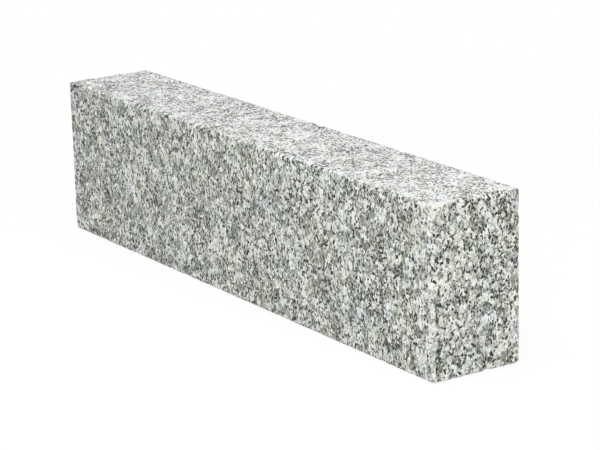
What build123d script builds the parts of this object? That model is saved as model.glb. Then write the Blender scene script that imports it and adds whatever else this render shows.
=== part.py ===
"""Straight granite kerb stone, 15 x 25 x 100 cm, sawn from one block.

The stone is one solid. Its origin is the middle of the bed, the face that it is laid on. X runs along the kerb
line, Y across it from the road side to the footway side, and Z points up. All sizes are in millimetres.
"""

import os

from build123d import *

# Driving dimensions
LENGTH = 1000.0  # along the kerb line, from one end joint to the other
WIDTH = 150.0  # across the top, from the road face to the back
HEIGHT = 250.0  # from the bed to the top
ARRIS_RADIUS = 5.0  # rounding of the arrises round the top and down the four uprights
BED_CHAMFER = 2.0  # the saw's sharp edge round the bed, only broken by hand

PARTS_FOLDER = "parts"


def kerb_stone() -> Part:
    """The sawn block with its worked arrises, standing on its bed."""
    with BuildPart() as stone:
        Box(LENGTH, WIDTH, HEIGHT, align=(Align.CENTER, Align.CENTER, Align.MIN))

        # The arrises that feet, tyres and hands meet are rounded: the four round the top and the four uprights.
        bed_edges = stone.faces().sort_by(Axis.Z)[0].edges()
        worked_edges = stone.edges() - bed_edges
        fillet(worked_edges, radius=ARRIS_RADIUS)

        # The bed lies in mortar, so its edge keeps the saw's corner with only the sharpness taken off.
        bed_outline = stone.faces().sort_by(Axis.Z)[0].edges()
        chamfer(bed_outline, length=BED_CHAMFER)
    stone.part.label = "kerb_stone"
    return stone.part


def main() -> None:
    """Builds the stone and writes it as one STEP file, named for its node."""
    os.makedirs(PARTS_FOLDER, exist_ok=True)
    stone = kerb_stone()
    export_step(stone, os.path.join(PARTS_FOLDER, f"{stone.label}.step"))
    print(f"{stone.label}: {stone.volume / 1e9:.5f} m3, box {stone.bounding_box().size}")


if __name__ == "__main__":
    main()
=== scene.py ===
"""Straight kerb stone of light grey granite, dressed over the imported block.

The block's own sizes come from the frame. This script gives it its worked faces, its worn arrises and its
grain, and stands it in a plain white studio, seen from the photograph's viewing angle. All lengths are in
metres.
"""

import logging
import math
from dataclasses import dataclass, field
from enum import Enum
from typing import Iterable, Mapping, Optional, Sequence, Union

import bpy
from mathutils import Matrix, Vector


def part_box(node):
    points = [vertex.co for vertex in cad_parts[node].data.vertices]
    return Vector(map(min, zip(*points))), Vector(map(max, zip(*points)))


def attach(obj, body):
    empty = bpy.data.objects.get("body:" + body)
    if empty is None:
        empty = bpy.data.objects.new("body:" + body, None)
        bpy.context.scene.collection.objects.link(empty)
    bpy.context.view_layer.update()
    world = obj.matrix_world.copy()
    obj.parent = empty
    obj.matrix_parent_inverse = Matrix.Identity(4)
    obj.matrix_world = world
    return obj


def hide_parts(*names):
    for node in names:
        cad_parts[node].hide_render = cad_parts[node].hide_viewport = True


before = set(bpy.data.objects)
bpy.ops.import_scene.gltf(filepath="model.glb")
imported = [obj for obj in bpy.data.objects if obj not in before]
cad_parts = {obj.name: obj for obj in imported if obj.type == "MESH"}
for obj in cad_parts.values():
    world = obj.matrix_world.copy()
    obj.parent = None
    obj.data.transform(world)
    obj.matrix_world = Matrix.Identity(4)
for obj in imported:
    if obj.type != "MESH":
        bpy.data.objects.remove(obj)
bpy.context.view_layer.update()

LOG = logging.getLogger("kerb_stone")
Colour = tuple[float, float, float]
Point = tuple[float, float, float]

HALF = 0.5
NO_LENGTH = 1e-7  # added to a length before it divides
HALF_ARRIS = math.radians(45.0)  # the turn of each half of a rounded arris
WHITE: Colour = (1.0, 1.0, 1.0)


class Wire:
    """One output of a node, on which sums are written as plain Python."""

    def __init__(self, sheet: "NodeSheet", socket: bpy.types.NodeSocket) -> None:
        """Wraps a socket.

        Args:
            sheet: The sheet of nodes that the socket is on.
            socket: The output to wrap.
        """
        self.sheet = sheet
        self.socket = socket

    @property
    def is_vector(self) -> bool:
        """Whether the output carries three numbers."""
        return self.socket.type in {"VECTOR", "RGBA"}

    def __add__(self, other: "Operand") -> "Wire":
        """This plus another."""
        return self.sheet.sum_up("ADD", self, other)

    def __radd__(self, other: "Operand") -> "Wire":
        """Another plus this."""
        return self.sheet.sum_up("ADD", other, self)

    def __sub__(self, other: "Operand") -> "Wire":
        """This less another."""
        return self.sheet.sum_up("SUBTRACT", self, other)

    def __rsub__(self, other: "Operand") -> "Wire":
        """Another less this."""
        return self.sheet.sum_up("SUBTRACT", other, self)

    def __mul__(self, other: "Operand") -> "Wire":
        """This times another."""
        return self.sheet.sum_up("MULTIPLY", self, other)

    def __rmul__(self, other: "Operand") -> "Wire":
        """Another times this."""
        return self.sheet.sum_up("MULTIPLY", other, self)

    def __truediv__(self, other: "Operand") -> "Wire":
        """This over another."""
        return self.sheet.sum_up("DIVIDE", self, other)

    def __rtruediv__(self, other: "Operand") -> "Wire":
        """Another over this."""
        return self.sheet.sum_up("DIVIDE", other, self)

    def __lt__(self, other: "Operand") -> "Wire":
        """One where this is below another, and nought elsewhere."""
        return self.sheet.sum_up("LESS_THAN", self, other)

    def __gt__(self, other: "Operand") -> "Wire":
        """One where this is above another, and nought elsewhere."""
        return self.sheet.sum_up("GREATER_THAN", self, other)

    def __abs__(self) -> "Wire":
        """This without its sign."""
        return self.sheet.sum_up("ABSOLUTE", self)

    def lowest(self, other: "Operand") -> "Wire":
        """The lower of this and another."""
        return self.sheet.sum_up("MINIMUM", self, other)

    def highest(self, other: "Operand") -> "Wire":
        """The higher of this and another."""
        return self.sheet.sum_up("MAXIMUM", self, other)

    def root(self) -> "Wire":
        """The square root of this."""
        return self.sheet.sum_up("SQRT", self)

    def parts(self) -> tuple["Wire", "Wire", "Wire"]:
        """The three numbers that this carries."""
        splitter = self.sheet.node("ShaderNodeSeparateXYZ", inputs={"Vector": self}).socket.node
        x, y, z = (Wire(self.sheet, out) for out in splitter.outputs)
        return x, y, z


Operand = Union[Wire, float, Sequence[float]]
SocketValue = Union[Operand, bool, bpy.types.Material]


class NoisePart(Enum):
    """What a noise gives at a point."""

    LEVEL = "Fac"
    TRIPLE = "Color"


class NodeSheet:
    """A node tree that is written node by node."""

    NOISE_FALL = 0.55  # how strong each finer wave of a noise is beside the one it lies on

    def __init__(self, tree: bpy.types.NodeTree) -> None:
        """Starts from an empty tree.

        Args:
            tree: The tree to fill.
        """
        self.tree = tree
        tree.nodes.clear()

    def node(
        self,
        kind: str,
        settings: Optional[Mapping[str, object]] = None,
        inputs: Optional[Mapping[str, SocketValue]] = None,
        output: str = "",
    ) -> Wire:
        """Adds a node.

        Args:
            kind: Blender's name for the type of node.
            settings: Properties of the node, which are set first. A ramp's stops are (place, colour) pairs.
            inputs: A value or a wire for each socket, by the socket's identifier or name.
            output: The identifier or name of the output to hand back, or nothing for the first.

        Returns:
            The wire from that output, or from nothing but the node if it has no output.
        """
        new = self.tree.nodes.new(kind)
        for name, value in (settings or {}).items():
            if name == "stops":
                self._set_stops(new.color_ramp, value)
            else:
                setattr(new, name, value)
        for name, value in (inputs or {}).items():
            self._feed(self._find(new.inputs, name), value)
        if not new.outputs:
            return Wire(self, None)
        return Wire(self, self._find(new.outputs, output) if output else new.outputs[0])

    def sum_up(self, operation: str, first: Operand, second: Optional[Operand] = None) -> Wire:
        """Adds one sum, on numbers or on vectors, as its operands are.

        Args:
            operation: Blender's name for the sum.
            first: The first operand.
            second: The second operand, where the sum has one.

        Returns:
            The result.
        """
        operands = [first] if second is None else [first, second]
        if any(self._carries_vector(operand) for operand in operands):
            spread = [self._as_vector(operand) for operand in operands]
            inputs = dict(zip(("Vector", "Vector_001"), spread))
            return self.node("ShaderNodeVectorMath", {"operation": operation}, inputs)
        inputs = dict(zip(("Value", "Value_001"), operands))
        return self.node("ShaderNodeMath", {"operation": operation}, inputs)

    def vector(self, x: Operand, y: Operand, z: Operand) -> Wire:
        """Three numbers as one vector."""
        return self.node("ShaderNodeCombineXYZ", inputs={"X": x, "Y": y, "Z": z})

    def blend(self, first: Operand, second: Operand, share: Operand) -> Wire:
        """One colour going over into another.

        Args:
            first: The colour where the share is nought.
            second: The colour where the share is one.
            share: How much of the second shows.

        Returns:
            The mixed colour.
        """
        inputs = {"Factor_Float": share, "A_Color": first, "B_Color": second}
        return self.node("ShaderNodeMix", {"data_type": "RGBA"}, inputs, "Result_Color")

    def ease(self, value: Operand, start: float, end: float) -> Wire:
        """A smooth step.

        Args:
            value: What is stepped.
            start: The value at which the step leaves nought.
            end: The value at which it reaches one, which may be below the start.

        Returns:
            A number from nought to one.
        """
        rising = {"From Min": min(start, end), "From Max": max(start, end)}
        ends = {"To Min": float(start > end), "To Max": float(start < end)}
        inputs = {"Value": value, **rising, **ends}
        return self.node("ShaderNodeMapRange", {"interpolation_type": "SMOOTHSTEP"}, inputs, "Result")

    def noise(
        self,
        place: Operand,
        size: float,
        part: NoisePart = NoisePart.LEVEL,
        detail: float = 2.0,
        seed: Optional[Operand] = None,
    ) -> Wire:
        """A cloudy noise.

        Args:
            place: Where it is read.
            size: The length of its largest waves.
            part: Whether it gives one level or three.
            detail: How many finer waves lie on the largest.
            seed: A number that picks another noise of the same kind.

        Returns:
            The level or levels, from nought to one, around a half.
        """
        inputs = {"Vector": place, "Scale": 1.0 / size, "Detail": detail, "Roughness": self.NOISE_FALL}
        settings = {"noise_dimensions": "3D"}
        if seed is not None:
            settings = {"noise_dimensions": "4D"}
            inputs["W"] = seed
        return self.node("ShaderNodeTexNoise", settings, inputs, part.value)

    def cells(self, place: Operand, size: float) -> tuple[Wire, Wire]:
        """A pattern of grains packed like crystals.

        Args:
            place: Where it is read.
            size: How far apart the grains are.

        Returns:
            A number drawn for each grain, from nought to one, and how far the grain's middle is, in grains.
        """
        inputs = {"Vector": place, "Scale": 1.0 / size}
        pattern = self.node("ShaderNodeTexVoronoi", {"feature": "F1"}, inputs, "Color")
        lot, _, _ = pattern.parts()
        return lot, Wire(self, pattern.socket.node.outputs["Distance"])

    def borders(self, place: Operand, size: float) -> Wire:
        """How far the nearest border of a pattern of grains is.

        Args:
            place: Where it is read.
            size: How far apart the grains are.

        Returns:
            The distance, in grains.
        """
        inputs = {"Vector": place, "Scale": 1.0 / size}
        return self.node("ShaderNodeTexVoronoi", {"feature": "DISTANCE_TO_EDGE"}, inputs, "Distance")

    def _feed(self, socket: bpy.types.NodeSocket, value: SocketValue) -> None:
        """Links a wire to a socket, or sets its value."""
        if isinstance(value, Wire):
            self.tree.links.new(value.socket, socket)
        elif socket.type == "RGBA" and len(value) == 3:
            socket.default_value = (*value, 1.0)
        else:
            socket.default_value = value

    @staticmethod
    def _find(sockets: bpy.types.bpy_prop_collection, name: str) -> bpy.types.NodeSocket:
        """The socket of that identifier, or else of that name."""
        for socket in sockets:
            if socket.identifier == name:
                return socket
        return sockets[name]

    @staticmethod
    def _set_stops(ramp: bpy.types.ColorRamp, stops: Sequence[tuple[float, Colour]]) -> None:
        """Gives a ramp its stops."""
        while len(ramp.elements) < len(stops):
            ramp.elements.new(1.0)
        for element, (place, colour) in zip(ramp.elements, stops):
            element.position = place
            element.color = (*colour, 1.0)

    @staticmethod
    def _carries_vector(operand: Operand) -> bool:
        """Whether an operand is a vector."""
        return operand.is_vector if isinstance(operand, Wire) else not isinstance(operand, (int, float))

    @staticmethod
    def _as_vector(operand: Operand) -> Operand:
        """A number as three equal ones. A wire spreads by itself."""
        return (operand,) * 3 if isinstance(operand, (int, float)) else operand


@dataclass(frozen=True)
class Mineral:
    """One of the stone's light minerals."""

    up_to: float  # the tone up to which a grain is this mineral, from the darkest grains to the lightest
    colour: Colour


@dataclass(frozen=True)
class Granite:
    """Light grey granite of white and cream feldspar, grey quartz and black mica, worked to a matt face."""

    name: str = "granite"

    # The light minerals, from grey to white
    minerals: tuple[Mineral, ...] = (
        Mineral(0.16, (0.188, 0.203, 0.177)),  # smoky quartz
        Mineral(0.30, (0.317, 0.335, 0.305)),  # dark grey quartz
        Mineral(0.46, (0.461, 0.481, 0.454)),  # grey quartz
        Mineral(0.66, (0.643, 0.664, 0.638)),  # dull feldspar
        Mineral(0.90, (0.788, 0.811, 0.788)),  # white feldspar
        Mineral(1.00, (0.912, 0.935, 0.914)),  # clear white feldspar
    )
    border: float = 0.03  # the step of tone over which one mineral goes into the next
    mica_black: Colour = (0.0103, 0.0120, 0.0086)
    mica_grey: Colour = (0.0572, 0.0650, 0.0494)

    # The tints that lie over them in soft patches, as far as they take red and blue up or down
    tint_size: float = 0.036
    tint_detail: float = 3.0
    red_tint: float = 0.15
    blue_tint: float = 0.29

    # The rock's own grain, which draws the crystals out a little in height
    rift: Point = (1.14, 1.13, 0.82)

    # The grains' sizes, and how much each size has to say in a grain's tone
    middle_tone: float = 0.529
    fleck_size: float = 0.0016
    fleck_say: float = 0.773
    grain_size: float = 0.0047
    grain_say: float = 0.665
    crystal_size: float = 0.0104
    seam_width: float = 0.251  # of the seam between two crystals, as a share of a crystal
    seam_say: float = 0.122
    calm: float = 0.766  # how much of the flecks is left inside a crystal
    crystal_say: float = 0.535
    cloud_size: float = 0.0242
    cloud_say: float = 0.352
    mottle_size: float = 0.0010
    mottle_say: float = 0.578

    # The mica's specks
    speck_size: float = 0.0034
    speck_share: float = 0.452
    speck_gather: float = 0.780
    speck_radius: float = 0.658
    speck_edge: float = 0.089
    stray: float = 0.238  # the share of the specks that lie inside the crystals and not in their seams

    # How far the grains' borders wander
    wander_size: float = 0.008
    wander: float = 0.0048
    speck_wander: float = 0.0056
    fret_size: float = 0.0020
    fret: float = 0.0003

    # The top, which the bush hammer has whitened and pitted, with painted shade darkening the pits
    hammer_reach: float = 0.0026  # how far down the arris the hammer's marks run out
    hammer_full: float = 0.0004  # and above where they are at their fullest
    bruise: float = 0.700  # how far the crushed grains are whitened
    dust: float = 0.05  # how much of the mica's black the crushed stone hides
    bruise_white: Colour = (0.800, 0.818, 0.810)
    pit_size: float = 0.0032
    pit_share: float = 0.25
    pit_gather: float = 1.36
    pit_radius: float = 0.59
    pit_shade: float = 0.94
    pit_shadow_colour: Colour = (0.060, 0.066, 0.060)

    # The front beside the near upright arris, paled by a painted highlight
    highlight_reach: float = 0.052  # how far along the front the painted highlight runs out
    highlight_full: float = 0.008  # and up to where it is at its fullest
    highlight_depth: float = 0.006  # how far back from the front it runs out
    highlight_face: float = 0.0028  # and how far back it is still full
    highlight_lift: float = 0.26  # how far the painted highlight lifts the slow change of the rock

    specular: float = 0.42
    roughness: float = 0.60
    roughness_rise: float = 0.25  # how much rougher the white grains are than the black
    relief_depth: float = 0.0005
    relief_strength: float = 0.75

    def material(self, end: float, front: float, top: float) -> bpy.types.Material:
        """Builds the material.

        Args:
            end: Where the stone's near end lies along its length.
            front: Where its front lies across its width.
            top: The height of its top.

        Returns:
            A material that reads the stone's own coordinates.
        """
        material = bpy.data.materials.new(self.name)
        material.use_nodes = True
        sheet = NodeSheet(material.node_tree)
        spot = sheet.node("ShaderNodeTexCoord", output="Object")
        along, across, height = spot.parts()
        arris_highlight = self._arris_highlight(sheet, end - along, across - front)
        hammered = sheet.ease(top - height, self.hammer_reach, self.hammer_full)

        place = spot * self.rift
        bent = self._bent(sheet, place, self.wander)
        seam = sheet.ease(sheet.borders(bent, self.crystal_size), self.seam_width, 0.0)
        # Beside the near upright arris the rock's slow change is lifted: a painted highlight.
        cloud = sheet.noise(place, self.cloud_size, detail=1.0) - HALF + arris_highlight * self.highlight_lift
        mottle = sheet.noise(place, self.mottle_size, detail=1.0) - HALF
        tone = self._tone(sheet, bent, seam) + cloud * self.cloud_say + mottle * self.mottle_say
        mica, sheen = self._mica(sheet, place, seam, cloud)
        pits = self._pits(sheet, place, cloud) * hammered

        colour = sheet.node("ShaderNodeValToRGB", {"stops": self._stops()}, {"Fac": tone})
        colour = colour * self._tint(sheet, place)
        colour = sheet.blend(colour, self.bruise_white, hammered * self.bruise)
        black = sheet.blend(self.mica_black, self.mica_grey, sheen)
        colour = sheet.blend(colour, black, mica * (1.0 - hammered * self.dust))
        # The pits are darkened with painted shade, and their depth is in the bump.
        colour = sheet.blend(colour, self.pit_shadow_colour, pits * self.pit_shade)

        # The light grains stand a little proud, and the mica and the pits lie low.
        relief = HALF * (mottle + tone - mica) - pits
        bump = {"Strength": self.relief_strength, "Distance": self.relief_depth, "Height": relief}
        surface = {
            "Base Color": colour,
            "Roughness": self.roughness + self.roughness_rise * tone,
            "Specular IOR Level": self.specular,
            "Normal": sheet.node("ShaderNodeBump", inputs=bump),
        }
        shader = sheet.node("ShaderNodeBsdfPrincipled", inputs=surface)
        sheet.node("ShaderNodeOutputMaterial", inputs={"Surface": shader})
        return material

    def _arris_highlight(self, sheet: NodeSheet, from_end: Wire, from_front: Wire) -> Wire:
        """Where a painted highlight pales the rock.

        Args:
            sheet: The material's nodes.
            from_end: How far a spot is from the near end.
            from_front: How far it is from the front.

        Returns:
            One beside the near upright arris, and nought away from it.
        """
        along = sheet.ease(from_end, self.highlight_reach, self.highlight_full)
        return along * sheet.ease(from_front, self.highlight_depth, self.highlight_face)

    def _tone(self, sheet: NodeSheet, bent: Wire, seam: Wire) -> Wire:
        """How light the grains are.

        Args:
            sheet: The material's nodes.
            bent: Where the grains are read.
            seam: One on the seams between the crystals, and nought inside them.

        Returns:
            The tone, from the darkest mineral at nought to the lightest at one.
        """
        fleck, _ = sheet.cells(bent, self.fleck_size)
        grain, _ = sheet.cells(bent, self.grain_size)
        crystal, _ = sheet.cells(bent, self.crystal_size)
        lively = self.calm + (1.0 - self.calm) * seam
        tone = self.middle_tone + (fleck - HALF) * self.fleck_say * lively - seam * self.seam_say
        return tone + (grain - HALF) * self.grain_say + (crystal - HALF) * self.crystal_say

    def _mica(self, sheet: NodeSheet, place: Wire, seam: Wire, cloud: Wire) -> tuple[Wire, Wire]:
        """Where the mica's specks lie, mostly in the seams between the crystals.

        Args:
            sheet: The material's nodes.
            place: Where they are read.
            seam: One on the seams, and nought inside the crystals.
            cloud: The slow change of the rock, which gathers the specks.

        Returns:
            One on a speck and nought off it, and how grey the speck is.
        """
        scattered = self._bent(sheet, place, self.speck_wander)
        speck, reach = sheet.cells(scattered, self.speck_size)
        odds = self.speck_share * (self.stray + (1.0 - self.stray) * seam) - cloud * self.speck_gather
        shown = (speck < odds) * sheet.ease(reach, self.speck_radius, self.speck_radius - self.speck_edge)
        return shown, (speck / odds.highest(self.speck_share)).lowest(1.0)

    def _pits(self, sheet: NodeSheet, place: Wire, cloud: Wire) -> Wire:
        """Where the hammer's teeth have left pits.

        Args:
            sheet: The material's nodes.
            place: Where they are read.
            cloud: The slow change of the rock, which gathers the pits.

        Returns:
            One in a pit, and nought beside it.
        """
        pit, reach = sheet.cells(self._bent(sheet, place, self.speck_wander), self.pit_size)
        struck = pit < self.pit_share - cloud * self.pit_gather
        return struck * sheet.ease(reach, self.pit_radius, self.pit_radius - self.speck_edge)

    def _tint(self, sheet: NodeSheet, place: Wire) -> Wire:
        """The soft patches of tint.

        Args:
            sheet: The material's nodes.
            place: Where they are read.

        Returns:
            What each of red, green and blue is multiplied by.
        """
        reds, blues, _ = sheet.noise(place, self.tint_size, NoisePart.TRIPLE, self.tint_detail).parts()
        return sheet.vector(1.0 + (reds - HALF) * self.red_tint, 1.0, 1.0 + (blues - HALF) * self.blue_tint)

    def _stops(self) -> list[tuple[float, Colour]]:
        """The minerals as stops of a ramp, each flat up to its border with the next."""
        stops: list[tuple[float, Colour]] = []
        start = 0.0
        for mineral in self.minerals:
            stops.append((start, mineral.colour))
            stops.append((mineral.up_to - self.border, mineral.colour))
            start = mineral.up_to
        return stops

    def _bent(self, sheet: NodeSheet, place: Wire, wander: float) -> Wire:
        """The place with its straight lines bent, so that the grains' borders wander.

        Args:
            sheet: The material's nodes.
            place: Where the pattern is read.
            wander: How far the borders wander.

        Returns:
            The bent place.
        """
        slow = sheet.noise(place, self.wander_size, NoisePart.TRIPLE) - HALF
        quick = sheet.noise(place, self.fret_size, NoisePart.TRIPLE, detail=1.0) - HALF
        return place + slow * wander + quick * self.fret


@dataclass
class KerbStone:
    """The stone: one sawn block with worked faces, rounded arrises and a few small chips along them."""

    finish: Granite
    node: str = "kerb_stone"
    body: str = "root"
    slot: str = "granite"
    name: str = "dressed_kerb_stone"

    arris_radius: float = 0.005
    bed_chamfer: float = 0.002
    face_step: float = 0.0031  # from one point of the mesh to the next on a flat face
    arris_rows: int = 4  # rows of faces on each half of a rounded arris

    tooling_size: float = 0.007
    tooling_depth: float = 0.0005
    wave_size: float = 0.11
    wave_depth: float = 0.0006
    chip_size: float = 0.014
    chip_depth: float = 0.0022
    chip_reach: float = 0.009  # how far from the arris a chip can run
    chip_start: float = 0.52  # the level of the chips' noise at which a chip begins
    chip_full: float = 0.74  # and at which it is at its deepest
    wear_depth: float = 0.0015  # what is worn off the upright arris between the front and the near end
    wear_reach: float = 0.013
    wear_start: float = 0.050  # the height over the bed by which the wear is at its deepest
    seed: float = 7.0

    low: Vector = field(init=False)
    high: Vector = field(init=False)

    def __post_init__(self) -> None:
        """Takes the block's size and place from the frame."""
        low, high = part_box(self.node)
        self.low = Vector(low)
        self.high = Vector(high)

    def build(self) -> bpy.types.Object:
        """Makes the stone as a plain mesh where the block stands, on the middle of its bed.

        Returns:
            The finished piece.
        """
        material = self.finish.material(self.high.x, self.low.y, self.high.z)
        stone = bpy.data.objects.new(self.name, bpy.data.meshes.new(self.name))
        bpy.context.scene.collection.objects.link(stone)
        self._shape(stone, material)
        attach(stone, self.body)
        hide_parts(self.node)
        return stone

    def _shape(self, stone: bpy.types.Object, material: bpy.types.Material) -> None:
        """Runs the shape's nodes on an object and keeps what they make as its mesh.

        Args:
            stone: The object to shape.
            material: The stone's finish.
        """
        sizes = self._sizes()
        tree = self._tree(sizes, material)
        modifier = stone.modifiers.new("shape", "NODES")
        modifier.node_group = tree
        for item in tree.interface.items_tree:
            if item.in_out == "INPUT":
                modifier[item.identifier] = sizes[item.name]
        evaluated = stone.evaluated_get(bpy.context.evaluated_depsgraph_get())
        mesh = bpy.data.meshes.new_from_object(evaluated)
        stone.modifiers.clear()
        stone.data = mesh
        mesh.name = self.name

    def _sizes(self) -> dict[str, float]:
        """The sizes that the shape is made from, by the names of the tree's inputs."""
        size = self.high - self.low
        return {
            "Length": size.x,
            "Width": size.y,
            "Height": size.z,
            "Arris radius": self.arris_radius,
            "Bed chamfer": self.bed_chamfer,
            "Face step": self.face_step,
            "Arris rows": self.arris_rows,
            "Tooling depth": self.tooling_depth,
            "Wave depth": self.wave_depth,
            "Chip depth": self.chip_depth,
            "Wear depth": self.wear_depth,
            "Seed": self.seed,
        }

    def _tree(self, names: Iterable[str], material: bpy.types.Material) -> bpy.types.GeometryNodeTree:
        """Writes the nodes that make the stone from its sizes.

        Args:
            names: The sizes' names.
            material: The stone's finish.

        Returns:
            The tree, with an input for each size.
        """
        tree = bpy.data.node_groups.new("kerb_stone_shape", "GeometryNodeTree")
        for name in names:
            tree.interface.new_socket(name, in_out="INPUT", socket_type="NodeSocketFloat")
        tree.interface.new_socket("Stone", in_out="OUTPUT", socket_type="NodeSocketGeometry")

        sheet = NodeSheet(tree)
        entry = sheet.node("NodeGroupInput").socket.node
        given = {out.name: Wire(sheet, out) for out in entry.outputs if out.name}
        block = self._block(sheet, given)
        moved = {"Geometry": block, "Position": self._rounded(sheet, given)}
        rounded = sheet.node("GeometryNodeSetPosition", inputs=moved)
        sunk = {"Geometry": rounded, "Offset": self._worked(sheet, given)}
        worked = sheet.node("GeometryNodeSetPosition", inputs=sunk)
        smooth = sheet.node("GeometryNodeSetShadeSmooth", inputs={"Geometry": worked, "Shade Smooth": True})
        real = sheet.node("GeometryNodeRealizeInstances", inputs={"Geometry": smooth})
        dressed = sheet.node("GeometryNodeSetMaterial", inputs={"Geometry": real, "Material": material})
        sheet.node("NodeGroupOutput", inputs={"Stone": dressed})
        return tree

    @staticmethod
    def _rows(sheet: NodeSheet, given: Mapping[str, Wire], side: str) -> Wire:
        """How many faces the block has along a side.

        Args:
            sheet: The tree's nodes.
            given: The tree's inputs.
            side: The input that holds the side's length.

        Returns:
            The number of faces from end to end.
        """
        flat = given[side] - 2.0 * given["Arris radius"]
        return sheet.sum_up("ROUND", flat / given["Face step"]) + 2.0 * given["Arris rows"]

    def _block(self, sheet: NodeSheet, given: Mapping[str, Wire]) -> Wire:
        """The sharp block, with its faces in even rows.

        Args:
            sheet: The tree's nodes.
            given: The tree's inputs.

        Returns:
            The block, with its middle at the origin.
        """
        sides = ("Length", "Width", "Height")
        points = {}
        for axis, side in zip("XYZ", sides):
            points[f"Vertices {axis}"] = self._rows(sheet, given, side) + 1.0
        size = sheet.vector(*(given[side] for side in sides))
        return sheet.node("GeometryNodeMeshCube", inputs={"Size": size, **points})

    def _graded(self, sheet: NodeSheet, given: Mapping[str, Wire], at: Wire, side: str) -> tuple[Wire, Wire]:
        """Moves a side's even rows so that the outer ones share the arris's arc evenly.

        Args:
            sheet: The tree's nodes.
            given: The tree's inputs.
            at: The distance of a point from the block's middle along that side, without its sign.
            side: The input that holds the side's length.

        Returns:
            How far the point is out along the flat of the side, and how far beyond it, within the arris.
        """
        radius = given["Arris radius"]
        half = given[side] * HALF
        share = at / half
        flat_share = 1.0 - 2.0 * given["Arris rows"] / self._rows(sheet, given, side)
        along = (share / flat_share).lowest(1.0) * (half - radius)
        turn = ((share - flat_share) / (1.0 - flat_share)).highest(0.0) * HALF_ARRIS
        return along, sheet.sum_up("TANGENT", turn) * radius

    def _rounded(self, sheet: NodeSheet, given: Mapping[str, Wire]) -> Wire:
        """Where each point of the sharp block goes, to round its arrises and break the edge of its bed.

        Args:
            sheet: The tree's nodes.
            given: The tree's inputs.

        Returns:
            The place of each point, with the bed's middle at the origin.
        """
        x, y, z = sheet.node("GeometryNodeInputPosition").parts()
        radius = given["Arris radius"]
        flat_x, out_x = self._graded(sheet, given, abs(x), "Length")
        flat_y, out_y = self._graded(sheet, given, abs(y), "Width")
        flat_z, out_z = self._graded(sheet, given, abs(z), "Height")
        upper = z > 0.0

        # In plan, the square corner is drawn in to a quarter of a circle.
        rim = out_x.highest(out_y)
        plan = (out_x * out_x + out_y * out_y).root() + NO_LENGTH

        # In height, so is the corner between a side and the top.
        above = out_z * upper
        skin = rim.highest(above)
        rise = (rim * rim + above * above).root() + NO_LENGTH
        reach = rim * skin / rise
        crown = above * skin / rise

        # The bed's edge is cut off straight.
        height = given["Height"] * HALF + sheet.sum_up("SIGN", z) * (flat_z + out_z * (1.0 - upper)) + crown
        cut = (given["Bed chamfer"] - height).highest(0.0) / radius
        outward = reach * (1.0 - cut) / plan
        new_x = sheet.sum_up("SIGN", x) * (flat_x + out_x * outward)
        new_y = sheet.sum_up("SIGN", y) * (flat_y + out_y * outward)
        return sheet.vector(new_x, new_y, height)

    def _worked(self, sheet: NodeSheet, given: Mapping[str, Wire]) -> Wire:
        """How far tooling and wear have taken the surface down at each point.

        Args:
            sheet: The tree's nodes.
            given: The tree's inputs.

        Returns:
            The offset of each point, into the stone.
        """
        place = sheet.node("GeometryNodeInputPosition")
        normal = sheet.node("GeometryNodeInputNormal")
        seed = given["Seed"]
        tooling = sheet.noise(place, self.tooling_size, seed=seed) * given["Tooling depth"]
        wave = sheet.noise(place, self.wave_size, detail=0.0, seed=seed + 1.0) * given["Wave depth"]
        level = sheet.noise(place, self.chip_size, detail=1.0, seed=seed + 2.0)
        broken = sheet.ease(level, self.chip_start, self.chip_full)
        near = sheet.ease(self._arris_distance(given, place), self.chip_reach, 0.0)
        chips = broken * near * given["Chip depth"]
        x, y, z = place.parts()
        corner = (given["Length"] * HALF - x).highest(given["Width"] * HALF + y)
        raised = sheet.ease(z, 0.0, self.wear_start)
        worn = sheet.ease(corner, self.wear_reach, 0.0) * raised * given["Wear depth"]
        return normal * (-1.0 * (tooling + wave + chips + worn))

    @staticmethod
    def _arris_distance(given: Mapping[str, Wire], place: Wire) -> Wire:
        """How far each point is from the nearest arris.

        Args:
            given: The tree's inputs.
            place: Where the point is.

        Returns:
            The distance, which is the middle one of the distances to the block's three nearest faces.
        """
        x, y, z = place.parts()
        from_end = given["Length"] * HALF - abs(x)
        from_side = given["Width"] * HALF - abs(y)
        from_bed = z.lowest(given["Height"] - z)
        return from_end.lowest(from_side).highest(from_end.highest(from_side).lowest(from_bed))


@dataclass(frozen=True)
class Lamp:
    """A square soft lamp."""

    name: str
    place: Point
    target: Point
    width: float
    colour: Colour
    power: float

    def build(self) -> bpy.types.Object:
        """Hangs the lamp.

        Returns:
            The lamp.
        """
        light = bpy.data.lights.new(self.name, "AREA")
        light.shape = "SQUARE"
        light.size = self.width
        light.energy = self.power
        light.color = self.colour
        lamp = bpy.data.objects.new(self.name, light)
        lamp.location = self.place
        aim = Vector(self.target) - Vector(self.place)
        lamp.rotation_euler = aim.to_track_quat("-Z", "Y").to_euler()
        bpy.context.scene.collection.objects.link(lamp)
        return lamp


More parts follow.
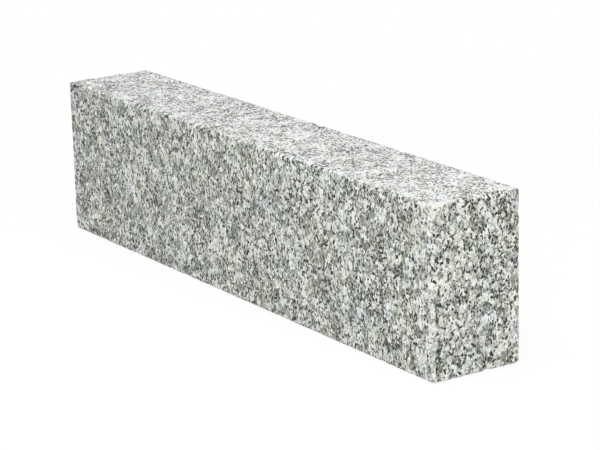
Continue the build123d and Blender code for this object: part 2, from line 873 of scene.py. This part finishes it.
@dataclass
class Studio:
    """A plain white studio: a floor that fades into the background, soft lamps and an even sky."""

    floor_name: str = "studio_floor"
    floor_radius: float = 14.0
    floor_colour: Colour = (0.62, 0.62, 0.62)  # as it throws light back on the stone
    floor_seen: Colour = (0.98, 0.98, 0.98)  # as an eye sees it
    floor_white: float = 0.86  # the share of plain white that an eye sees of the floor, over its shadows
    fade_start: float = 0.65  # how far from the stone's middle the floor begins to fade to plain white
    fade_end: float = 1.60
    sky_strength: float = 0.565
    lamps: tuple[Lamp, ...] = (
        Lamp("overhead_lamp", (0.3, -0.5, 3.2), (0.0, 0.0, 0.1), 2.6, (1.0, 1.0, 1.0), 53.4),
        Lamp("side_lamp", (3.15, -2.20, 1.6), (0.0, 0.0, 0.1), 2.0, (1.0, 0.974, 0.89), 67.2),
    )

    def build(self) -> None:
        """Makes the floor, the lamps and the sky."""
        self._floor()
        for lamp in self.lamps:
            lamp.build()
        self._sky()

    def _floor(self) -> bpy.types.Object:
        """Lays the floor under the stone.

        Returns:
            The floor.
        """
        r = self.floor_radius
        mesh = bpy.data.meshes.new(self.floor_name)
        mesh.from_pydata([(-r, -r, 0.0), (r, -r, 0.0), (r, r, 0.0), (-r, r, 0.0)], [], [(0, 1, 2, 3)])
        mesh.materials.append(self._floor_material())
        floor = bpy.data.objects.new(self.floor_name, mesh)
        bpy.context.scene.collection.objects.link(floor)
        return floor

    def _floor_material(self) -> bpy.types.Material:
        """A matt floor that an eye sees as nearly white, with its shadows kept.

        Returns:
            The floor's material.
        """
        material = bpy.data.materials.new(self.floor_name)
        material.use_nodes = True
        sheet = NodeSheet(material.node_tree)
        seen = self._seen(sheet)
        colour = sheet.blend(self.floor_colour, self.floor_seen, seen)
        matt = sheet.node("ShaderNodeBsdfDiffuse", inputs={"Color": colour})
        white = sheet.node("ShaderNodeEmission", inputs={"Color": WHITE, "Strength": 1.0})
        x, y, _ = sheet.node("ShaderNodeTexCoord", output="Object").parts()
        away = sheet.ease((x * x + y * y).root(), self.fade_start, self.fade_end)
        share = seen * (self.floor_white + (1.0 - self.floor_white) * away)
        inputs = {"Fac": share, "Shader": matt, "Shader_001": white}
        surface = sheet.node("ShaderNodeMixShader", inputs=inputs)
        sheet.node("ShaderNodeOutputMaterial", inputs={"Surface": surface})
        return material

    def _sky(self) -> None:
        """Lights the stone evenly from all round, and shows white behind it."""
        world = bpy.data.worlds.new("studio_sky")
        world.use_nodes = True
        bpy.context.scene.world = world
        sheet = NodeSheet(world.node_tree)
        even = sheet.node("ShaderNodeBackground", inputs={"Color": WHITE, "Strength": self.sky_strength})
        shown = sheet.node("ShaderNodeBackground", inputs={"Color": WHITE, "Strength": 1.0})
        inputs = {"Fac": self._seen(sheet), "Shader": even, "Shader_001": shown}
        surface = sheet.node("ShaderNodeMixShader", inputs=inputs)
        sheet.node("ShaderNodeOutputWorld", inputs={"Surface": surface})

    @staticmethod
    def _seen(sheet: NodeSheet) -> Wire:
        """One for a ray that an eye sees, straight, mirrored or through glass, and nought for light."""
        rays = sheet.node("ShaderNodeLightPath").socket.node.outputs
        straight = Wire(sheet, rays["Is Camera Ray"])
        mirrored = Wire(sheet, rays["Is Glossy Ray"])
        through = Wire(sheet, rays["Is Transmission Ray"])
        return straight.highest(mirrored).highest(through)


@dataclass
class View:
    """The camera at the photograph's viewing angle."""

    azimuth: float = 56.608  # degrees round the stone, from its front towards its near end
    elevation: float = 15.707
    roll: float = -1.488
    target: Point = (0.0972, -0.0183, 0.125)
    distance: float = 3.598
    lens: float = 145.92  # millimetres
    sensor: float = 36.0  # its width in millimetres
    far: float = 100.0

    def build(self) -> bpy.types.Object:
        """Sets up the camera.

        Returns:
            The camera.
        """
        turn, rise, tilt = (math.radians(a) for a in (self.azimuth, self.elevation, self.roll))
        back = Vector((math.sin(turn) * math.cos(rise), -math.cos(turn) * math.cos(rise), math.sin(rise)))
        right = Vector((math.cos(turn), math.sin(turn), 0.0))
        upright = back.cross(right)
        across = math.cos(tilt) * right + math.sin(tilt) * upright
        upward = math.cos(tilt) * upright - math.sin(tilt) * right
        lens = bpy.data.cameras.new("photo_view")
        lens.lens = self.lens
        lens.sensor_width = self.sensor
        lens.clip_end = self.far
        camera = bpy.data.objects.new("photo_view", lens)
        pose = Matrix((across, upward, back)).transposed().to_4x4()
        pose.translation = Vector(self.target) + back * self.distance
        camera.matrix_world = pose
        bpy.context.scene.collection.objects.link(camera)
        bpy.context.scene.camera = camera
        return camera


def main() -> None:
    """Builds the stone and its studio, and reports each piece."""
    logging.basicConfig(level=logging.INFO, format="%(name)s: %(message)s")
    bpy.context.scene.view_settings.view_transform = "Standard"
    stone = KerbStone(finish=Granite()).build()
    triangles = sum(len(face.vertices) - 2 for face in stone.data.polygons)
    LOG.info("%s, %d triangles", stone.name, triangles)
    studio = Studio()
    studio.build()
    LOG.info("%s under %d lamps", studio.floor_name, len(studio.lamps))
    camera = View().build()
    LOG.info("camera %s at %s", camera.name, tuple(round(v, 3) for v in camera.location))


if __name__ == "__main__":
    main()
